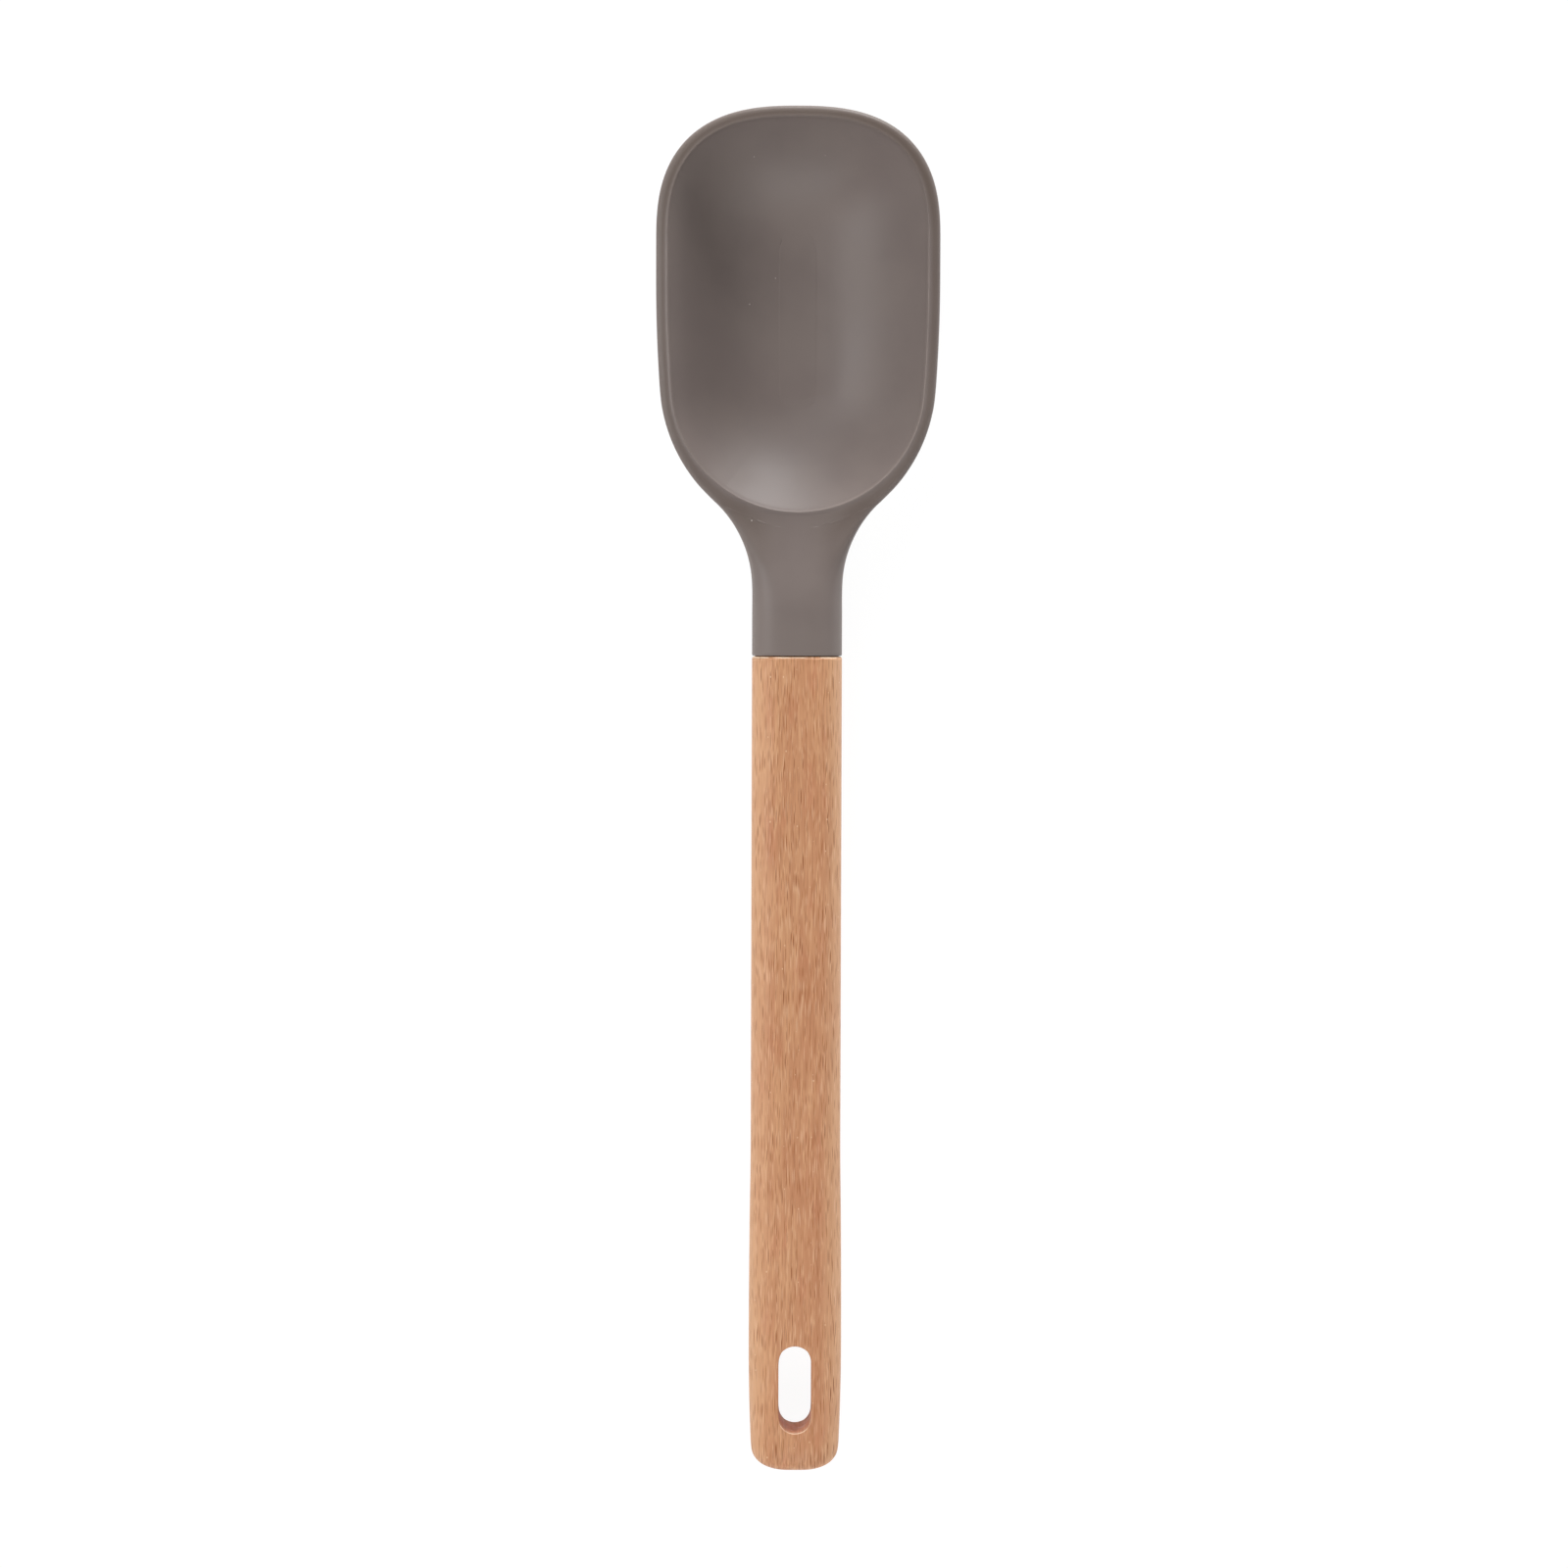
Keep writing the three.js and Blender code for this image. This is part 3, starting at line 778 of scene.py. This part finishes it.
# rings at the front edge: how far back each lies, how far in, and how pale the wood is
FRONT_EASE = ((0.01, 0.9, 0), (0.22, 0.4, 0), (0.3, 0.2, 1), (0.5, 0.05, 1), (1, 0, 0.5), (1.6, 0, 0))
BAR_STEPS, SLOT_STEPS = 15, 12
SLOT_WIDTH, SLOT_LENGTH, SLOT_MARGIN, SLOT_ROOM = 7.7, 20.7, 9.6, 1.9

slot_middle = SLOT_MARGIN + SLOT_LENGTH / 2 - HANDLE_LENGTH
patch_front, patch_end = [slot_middle + way * (SLOT_LENGTH / 2 + SLOT_ROOM) for way in (1, -1)]
butt_start = BUTT_ROUND - HANDLE_LENGTH
bar_rings = [BarRing(-back, NECK_HALF - inset, HALF_THICKNESS - inset) for back, inset, _ in FRONT_EASE]
bar_stops = steps(bar_rings[-1].along, patch_front, BAR_STEPS)
bar_stops += steps(patch_front, patch_end, SLOT_STEPS) + [butt_start]
for along in bar_stops:
    bar_rings.append(BarRing(along, bar_half(along + HANDLE_LENGTH), HALF_THICKNESS))
for share in steps(0, BUTT_END, BUTT_STEPS):
    angle = share * math.pi / 2
    shrink, ahead = math.cos(angle) ** (2 / BUTT_POWER), math.sin(angle) ** (2 / BUTT_POWER)
    from_butt = BUTT_ROUND * (1 - ahead)
    half, thick = bar_half(from_butt) * shrink, HALF_THICKNESS * shrink
    bar_rings.append(BarRing(from_butt - HANDLE_LENGTH, half, thick))
print(len(bar_rings), "rings along the bar")

# %% [markdown]
# The bar starts as one oval ring at its front end and is extruded from ring to ring, up to the butt.

# %% Bar of the handle
bar = bmesh.new()
number_of = bar.verts.layers.int.new("number")
# sanded paleness of the front edge, and the painted highlight at the slot's butt end
sanding_and_highlight = bar.verts.layers.float.new("sanding_and_highlight")
routed_tone_and_light = bar.verts.layers.float.new("routed_tone_and_light")
for number, vert in enumerate(bmesh.ops.create_circle(bar, segments=bar_sides, radius=1)["verts"]):
    vert[number_of] = number
    vert.co = oval_point(number, bar_rings[0])
front_edges = edges = list(bar.edges)
front_paleness = [paleness for _, _, paleness in FRONT_EASE]
for row, ring in enumerate(bar_rings[1:], start=1):
    verts, edges = add_ring(bar, edges)
    for vert in verts:
        vert[sanding_and_highlight] = front_paleness[row] if row < len(front_paleness) else 0
        vert.co = oval_point(vert[number_of], ring)
butt_edges = edges
fit_skin(bar)
print(len(bar.faces), "faces in the bar")

# %% [markdown]
# The butt is closed by a grid across its small last ring. The front face gets a bore for the tang: the
# front ring is extruded inwards to a border, to a circle, and then down the bore.

# %% Butt and bore
BORE_RADIUS, BORE_DEPTH, BORE_CORNER = 5, 44.3, 2
# rings of the front face and the bore: how round each is, and how deep it lies
BORE_RINGS = ((0.2, 0), (0.9, 0), (1, 0.3), (1, BORE_CORNER), (1, BORE_DEPTH - BORE_CORNER), (1, BORE_DEPTH))
BUTT_CORNER = 5


def is_butt_side(edge):
    half = bar_sides // 2
    places = [vert[number_of] % half for vert in edge.verts]
    return all(min(place, half - place) >= BUTT_CORNER for place in places)


top_and_bottom = [edge for edge in butt_edges if is_butt_side(edge)]
bmesh.ops.grid_fill(bar, edges=top_and_bottom, mat_nr=0, use_smooth=True)


def front_point(vert, share, depth):
    spread = Vector((vert.co.x, vert.co.z))
    target = spread.normalized() * BORE_RADIUS
    flat = blend(spread, target, share)
    return Vector((flat.x, bar_rings[0].along - depth, flat.y))


edges = front_edges
for share, depth in BORE_RINGS:
    verts, edges = add_ring(bar, edges)
    for vert in verts:
        vert.co = front_point(vert, share, depth)
bmesh.ops.contextual_create(bar, geom=edges)
print(len(bar.faces), "faces with butt and bore")

# %% [markdown]
# ## The hanging slot
#
# On each flat we take out a rectangle of faces and pull the edge of the gap in to the slot's outline, which
# is a rectangle with round ends.

# %% Outlines of the slot
SLOT_BORDER = 1.0
FLAT_HEIGHT = 0.9 * HALF_THICKNESS


def slot_point(vert, radius):
    straight = (SLOT_LENGTH - SLOT_WIDTH) / 2
    middle = min(max(vert.co.y, slot_middle - straight), slot_middle + straight)
    spread = Vector((vert.co.x, vert.co.y - middle)).normalized() * radius
    return Vector((spread.x, middle + spread.y, math.copysign(HALF_THICKNESS, vert.co.z)))


def in_patch(face):
    middle = face.calc_center_median()
    is_flat = abs(middle.z) > FLAT_HEIGHT and abs(middle.x) < patch_half * NECK_HALF
    return is_flat and patch_end < middle.y < patch_front


bmesh.ops.delete(bar, geom=[face for face in bar.faces if in_patch(face)], context="FACES")
gap_edges = [edge for edge in bar.edges if edge.is_boundary]
slot_loops = []
for side in (1, -1):
    edges = [edge for edge in gap_edges if edge.verts[0].co.z * side > 0]
    for radius in (SLOT_WIDTH / 2 + SLOT_BORDER, SLOT_WIDTH / 2):
        verts, edges = add_ring(bar, edges)
        for vert in verts:
            vert.co = slot_point(vert, radius)
    slot_loops += edges
print(len(slot_loops), "edges round the two mouths of the slot")

# %% [markdown]
# The two outlines are bridged through the handle, and the sharp rims are beveled, as a router with a rounding
# bit would leave them. The routed wall is marked for the finish, for its redder tone and for painted light on
# its shade. The rim and the upper wall at the end near the butt are marked for a painted highlight.

# %% Wall of the slot
# the last value is the strength of the painted highlight on the slot's upper wall near the butt
RIM_EASE, RIM_CUTS, WALL_CUTS, WALL_HIGHLIGHT = 0.2, 3, 3, 0.5
HIGHLIGHT_START, HIGHLIGHT_FULL = 0.2 * SLOT_LENGTH, 0.4 * SLOT_LENGTH
BEVEL_START, BEVEL_END = 0.1, 0.9


# how strongly the painted highlight lies on the slot's rim and wall: none at the front end, full near the butt
def butt_end_highlight(vert):
    return ease(slot_middle - vert.co.y, HIGHLIGHT_START, HIGHLIGHT_FULL)


wall = bmesh.ops.bridge_loops(bar, edges=slot_loops)
cuts = bmesh.ops.subdivide_edges(bar, edges=wall["edges"], cuts=WALL_CUTS)["geom_inner"]
rounded = bmesh.ops.bevel(bar, geom=slot_loops, offset=RIM_EASE, offset_type="OFFSET", affect="EDGES",
                          segments=RIM_CUTS, profile=0.5, material=-1)
for vert in rounded["verts"]:
    if BEVEL_START < (HALF_THICKNESS - vert.co.z) / RIM_EASE < BEVEL_END:
        # painted highlight on the rounded rim at the slot's butt end
        vert[sanding_and_highlight] = butt_end_highlight(vert)
for vert in cuts:
    if isinstance(vert, bmesh.types.BMVert):
        # the slot's wall: its redder tone, and painted light on its shade
        vert[routed_tone_and_light] = 1
        if vert.co.z > -RIM_EASE:
            # painted highlight on the upper wall at the butt end
            vert[sanding_and_highlight] = WALL_HIGHLIGHT * butt_end_highlight(vert)
print(len(bar.faces), "faces with the slot")

# %% [markdown]
# So far the handle lies level with its joint at the origin. One matrix leans it and moves it to the collar,
# and it is smoothed like the head.

# %% Finish the handle
joint = Matrix.Translation((0, collar_place, COLLAR_HEIGHT)) @ Matrix.Rotation(LEAN, 4, "X")
spoon_handle = finish_piece(bar, "spoon_handle", to_metres @ joint)
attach(spoon_handle, "root")
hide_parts("beech_handle")
print("handle:", len(spoon_handle.data.polygons), "faces before smoothing")

# %% [markdown]
# ## Patterns that several finishes share
#
# Dust on the silicone, rays in the beech and bubbles in the glue are all small marks scattered at random.
# One node group makes them: a Voronoi texture gives each cell a random number, and only a share of the
# cells get a mark. Moulded skins share a second group: soft clouds of tone and the fine grain of the mould.

# %% Node groups
SMALLEST_MARK, MARK_BORDER = 0.4, 0.6
CLOUD_LOW, CLOUD_HIGH = 0.3, 0.7


def new_group(name, inputs, outputs):
    group = bpy.data.node_groups.new(name, "ShaderNodeTree")
    for title, kind, value in inputs:
        socket = group.interface.new_socket(title, in_out="INPUT", socket_type="NodeSocket" + kind)
        if value is not None:
            socket.default_value = value
    for title in outputs:
        group.interface.new_socket(title, in_out="OUTPUT", socket_type="NodeSocketFloat")
    return group, group.nodes.new("NodeGroupInput").outputs, group.nodes.new("NodeGroupOutput").inputs


flecks, given, result = new_group(
    "flecks",
    [("Distance", "Float", 0.0), ("Chance", "Color", None), ("Share", "Float", 0.5), ("Size", "Float", 0.3)],
    ["Mask"],
)
chance = add_node(flecks, "SeparateColor", Color=given["Chance"]).outputs
present = maths(flecks, "LESS_THAN", chance["Red"], given["Share"])
growth = maths(flecks, "MULTIPLY_ADD", chance["Green"], 1 - SMALLEST_MARK, SMALLEST_MARK)
reach = maths(flecks, "MULTIPLY", given["Size"], growth)
inside = maths(flecks, "SUBTRACT", 1.0, maths(flecks, "DIVIDE", given["Distance"], reach))
spot = ramp(flecks, inside, 0.0, MARK_BORDER)
wire(flecks, maths(flecks, "MULTIPLY", spot, present), result["Mask"])

moulded, given, result = new_group(
    "moulded_skin",
    [("Vector", "Vector", None), ("Cloud Scale", "Float", 60.0), ("Grain Scale", "Float", 3000.0)],
    ["Cloud", "Grain"],
)
cloud = add_node(moulded, "TexNoise", Vector=given["Vector"], Scale=given["Cloud Scale"], Detail=3.0)
grain = add_node(moulded, "TexNoise", Vector=given["Vector"], Scale=given["Grain Scale"], Detail=2.0)
wire(moulded, ramp(moulded, cloud.outputs[0], CLOUD_LOW, CLOUD_HIGH), result["Cloud"])
wire(moulded, grain.outputs[0], result["Grain"])
print("groups:", [group.name for group in bpy.data.node_groups])

# %% [markdown]
# ## Steps that every finish takes
#
# A finish starts as one Principled shader. Its colour is built as a painter would do it: a ground tone, then
# thin layers, each with a mask that says where it lies and a strength. Masks come from a pattern, or from a
# value that we left on the vertices while modelling. A bump gives the surface its feel.


# %% Steps of a finish
def new_material(name, **constants):
    material = bpy.data.materials.new(name)
    material.use_nodes = True
    tree = material.node_tree
    tree.nodes.clear()
    shader = add_node(tree, "BsdfPrincipled", **constants)
    add_node(tree, "OutputMaterial", Surface=shader.outputs[0])
    return material, tree, shader


def use_group(tree, group, **inputs):
    node = tree.nodes.new("ShaderNodeGroup")
    node.node_tree = group
    for name, value in inputs.items():
        wire(tree, value, node.inputs[name.replace("_", " ")])
    return node.outputs


def scatter(tree, vector, scale, share, size, dimensions="3D"):
    settings = {"voronoi_dimensions": dimensions}
    cells = add_node(tree, "TexVoronoi", settings, Vector=vector, Scale=scale).outputs
    near, chance = cells["Distance"], cells["Color"]
    return use_group(tree, flecks, Distance=near, Chance=chance, Share=share, Size=size)["Mask"]


def stretch(tree, vector, amounts, turn=0.0):
    return add_node(tree, "Mapping", Vector=vector, Rotation=(turn, 0.0, 0.0), Scale=amounts).outputs[0]


def point_value(tree, name):
    return add_node(tree, "Attribute", {"attribute_name": name}).outputs["Fac"]


def lay_tones(tree, tone, layers):
    for mask, strength, paint in layers:
        tone = mix_colours(tree, maths(tree, "MULTIPLY", mask, strength), tone, colour(*paint))
    return tone


def finish_surface(tree, shader, tone, roughness, height, strength, distance):
    wire(tree, tone, shader.inputs["Base Color"])
    wire(tree, roughness, shader.inputs["Roughness"])
    bump = add_node(tree, "Bump", Strength=strength, Distance=distance, Height=height)
    wire(tree, bump.outputs[0], shader.inputs["Normal"])


# %% [markdown]
# ## Silicone
#
# The head is warm grey silicone with a satin skin. Its tone wanders a little, and the lip of the hollow is
# lighter: partly rubbed, partly a painted highlight. The rim gets painted shade, darker and browner than the
# thick wall, most of all at the tip.
# And silicone holds dust, so it gets a few specks.

# %% Silicone finish
silicone, tree, shader = new_material("silicone_grey", IOR=1.41)
place = add_node(tree, "TexCoord").outputs["Object"]
skin = use_group(tree, moulded, Vector=place, Cloud_Scale=45.0, Grain_Scale=2600.0)
tone = mix_colours(tree, skin["Cloud"], colour(120, 109, 105), colour(126, 115, 110))
# the lip: rubbed, and lightened by a painted highlight
rubbed_and_lit = point_value(tree, "rub_and_highlight")
# painted shade darkening the rim
rim_shade_mask = point_value(tree, "rim_painted_shade")
dust = scatter(tree, place, scale=170.0, share=0.35, size=0.05)
tone = lay_tones(tree, tone, (
    (rubbed_and_lit, 0.5, (150, 138, 132)),
    (rim_shade_mask, 0.85, (92, 79, 70)),
    (dust, 0.6, (205, 196, 190)),
))
satin = ramp(tree, skin["Cloud"], 0.0, 1.0, 0.44, 0.52)
finish_surface(tree, shader, tone, satin, skin["Grain"], strength=0.12, distance=0.00004)
spoon_head.data.materials.append(silicone)
print("silicone:", len(tree.nodes), "nodes")

# %% [markdown]
# ## Beech
#
# Beech is pale reddish brown with hardly any figure. What marks it are its rays: thin upright plates, cut
# here into many short dark dashes along the grain, thicker in some streaks than in others. The grain leans
# with the handle and wanders a little, as fibres do. The dashes are a flat pattern seen from above. On the
# steep sides it would smear, so there we lay it out down the side, and the two sides get different parts.

# %% Directions in the beech
WANDER, WANDER_SCALE = 0.0003, 200.0
STEEP, SIDE_SHIFT = 0.8, 0.03
beech, tree, shader = new_material("beech_oiled", IOR=1.5)
coordinates = add_node(tree, "TexCoord").outputs
place = coordinates["Object"]
grain = stretch(tree, place, (1.0, 1.0, 1.0), -LEAN)
slow = stretch(tree, grain, (1.0, 0.2, 1.0))
drift = add_node(tree, "TexNoise", Vector=slow, Scale=WANDER_SCALE, Detail=1.0).outputs["Color"]
grain = maths(tree, "MULTIPLY_ADD", drift, (WANDER, WANDER, WANDER), grain, kind="VectorMath")

facing = add_node(tree, "SeparateXYZ", Vector=coordinates["Normal"]).outputs["X"]
on_right = maths(tree, "GREATER_THAN", facing, STEEP)
on_left = maths(tree, "LESS_THAN", facing, -STEEP)
on_top = maths(tree, "SUBTRACT", 1.0, maths(tree, "ADD", on_right, on_left))
axes = add_node(tree, "SeparateXYZ", Vector=grain).outputs
side_sign = maths(tree, "SUBTRACT", on_right, on_left)
down_side = maths(tree, "MULTIPLY", side_sign, maths(tree, "ADD", axes["Z"], SIDE_SHIFT))
girth = maths(tree, "MULTIPLY_ADD", axes["X"], on_top, down_side)
round_bar = add_node(tree, "CombineXYZ", X=girth, Y=axes["Y"]).outputs[0]
print("beech nodes for the directions:", len(tree.nodes))

# %% [markdown]
# Two kinds of pattern follow the grain: noise, for tones that change slowly, and scattered marks, for the
# rays. All are stretched along the handle: a number below 1 for "along" makes them longer than they are wide.

# %% Grain of the beech
GRAIN_DEPTH = 0.4


def grain_noise(scale, along, detail=2.0):
    vector = stretch(tree, grain, (1.0, along, GRAIN_DEPTH))
    return add_node(tree, "TexNoise", Vector=vector, Scale=scale, Detail=detail).outputs[0]


def ray_marks(scale, along, share, size):
    return scatter(tree, stretch(tree, round_bar, (1.0, along, 0.0)), scale, share, size, "2D")


patches = grain_noise(scale=130.0, along=0.2)
blushes = grain_noise(scale=330.0, along=0.25)
streaks = grain_noise(scale=700.0, along=0.03, detail=3.0)
fibres = grain_noise(scale=2600.0, along=0.06, detail=3.0)
dashes = ray_marks(scale=1300.0, along=0.05, share=0.65, size=0.18)
# pale painted highlight round each ray, where the ray's relief catches light
ray_highlights = ray_marks(scale=1300.0, along=0.05, share=0.65, size=0.36)
fine_dashes = ray_marks(scale=2800.0, along=0.04, share=0.8, size=0.3)
pale_dashes = ray_marks(scale=2600.0, along=0.04, share=0.7, size=0.28)
specks = ray_marks(scale=300.0, along=0.6, share=0.3, size=0.06)
print("beech nodes for the grain:", len(tree.nodes))

# %% [markdown]
# The tones go on in layers, from the broad patches to the fine dashes. The rounded sides get a painted sheen,
# and the rays get painted highlights round them. The eased edge at the front end is sanded pale, and the
# slot's rim and upper wall at the butt end get a painted highlight, both raggedly. The routed wall of the
# slot, which has end grain at its two round ends, is redder, and painted light lifts its shade.

# %% Tones of the beech
# where the painted sheen on the rounded sides begins and where it is full, in metres from the axis
SHEEN_START, SHEEN_FULL = 0.005, 0.0105
RAGGED_SCALE, RAGGEDNESS = 350.0, 2.0
tone = mix_colours(tree, ramp(tree, patches, 0.35, 0.65), colour(208, 152, 110), colour(197, 137, 97))
across = add_node(tree, "SeparateXYZ", Vector=place).outputs["X"]
# painted sheen: the rounded sides are paler
sides = ramp(tree, maths(tree, "ABSOLUTE", across), SHEEN_START, SHEEN_FULL)
crowding = ramp(tree, streaks, 0.35, 0.6, 0.55, 1.0)
ragged = add_node(tree, "TexNoise", Vector=place, Scale=RAGGED_SCALE, Detail=2.0).outputs[0]
# sanded paleness and painted highlight, made ragged by noise
ragged_sanding_and_highlight = maths(tree, "MULTIPLY_ADD", ragged, RAGGEDNESS, point_value(tree, "sanding_and_highlight"))
tone = lay_tones(tree, tone, (
    (ramp(tree, blushes, 0.5, 0.75), 0.5, (196, 126, 90)),
    (ramp(tree, streaks, 0.45, 0.75), 0.4, (180, 118, 80)),
    (ramp(tree, fibres, 0.5, 0.75), 0.5, (166, 108, 72)),
    (ramp(tree, fibres, 0.5, 0.25), 0.5, (228, 178, 136)),
    # painted sheen on the rounded sides
    (sides, 0.6, (223, 175, 134)),
    (pale_dashes, 0.6, (238, 196, 162)),
    # painted highlight round the rays
    (ray_highlights, 0.35, (232, 184, 142)),
    (dashes, crowding, (138, 66, 4)),
    (fine_dashes, 0.75, (152, 80, 14)),
    (specks, 0.7, (240, 206, 170)),
    # redder tone of the routed wall, and painted light lifting its shade
    (point_value(tree, "routed_tone_and_light"), 0.33, (255, 165, 105)),
    # sanded pale front edge, and the painted highlight at the slot's butt end
    (ramp(tree, ragged_sanding_and_highlight, 1.6, 2.2), 0.9, (252, 226, 196)),
))
marks = maths(tree, "ADD", dashes, fine_dashes)
relief = maths(tree, "SUBTRACT", maths(tree, "MULTIPLY", fibres, 0.3), marks)
dullness = ramp(tree, streaks, 0.3, 0.7, 0.52, 0.64)
finish_surface(tree, shader, tone, dullness, relief, strength=0.15, distance=0.00005)
spoon_handle.data.materials.append(beech)
print("beech nodes in all:", len(tree.nodes))

# %% [markdown]
# ## Nylon and glue
#
# The core and the glue are sealed inside, and their CAD shapes are right, so they only get a finish: dull
# black nylon with the grain of its mould, and amber glue with small bubbles.


# %% Hidden finishes
def coat_node(name, material):
    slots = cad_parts[name].data.materials
    slots.clear()
    slots.append(material)


nylon, tree, shader = new_material("nylon_black", IOR=1.53)
place = add_node(tree, "TexCoord").outputs["Object"]
skin = use_group(tree, moulded, Vector=place, Cloud_Scale=90.0, Grain_Scale=1800.0)
tone = mix_colours(tree, skin["Cloud"], colour(48, 46, 44), colour(56, 54, 51))
dullness = ramp(tree, skin["Cloud"], 0.0, 1.0, 0.45, 0.6)
finish_surface(tree, shader, tone, dullness, skin["Grain"], strength=0.3, distance=0.00005)
coat_node("nylon_core", nylon)

glue, tree, shader = new_material("glue_amber", IOR=1.5)
place = add_node(tree, "TexCoord").outputs["Object"]
skin = use_group(tree, moulded, Vector=place, Cloud_Scale=200.0, Grain_Scale=900.0)
bubbles = scatter(tree, place, scale=900.0, share=0.4, size=0.35)
tone = mix_colours(tree, skin["Cloud"], colour(210, 184, 128), colour(222, 200, 148))
tone = mix_colours(tree, bubbles, tone, colour(238, 224, 186))
shine = ramp(tree, skin["Cloud"], 0.0, 1.0, 0.28, 0.4)
finish_surface(tree, shader, tone, shine, bubbles, strength=0.4, distance=0.0001)
coat_node("tang_glue", glue)
print("materials:", [material.name for material in (silicone, beech, nylon, glue)])
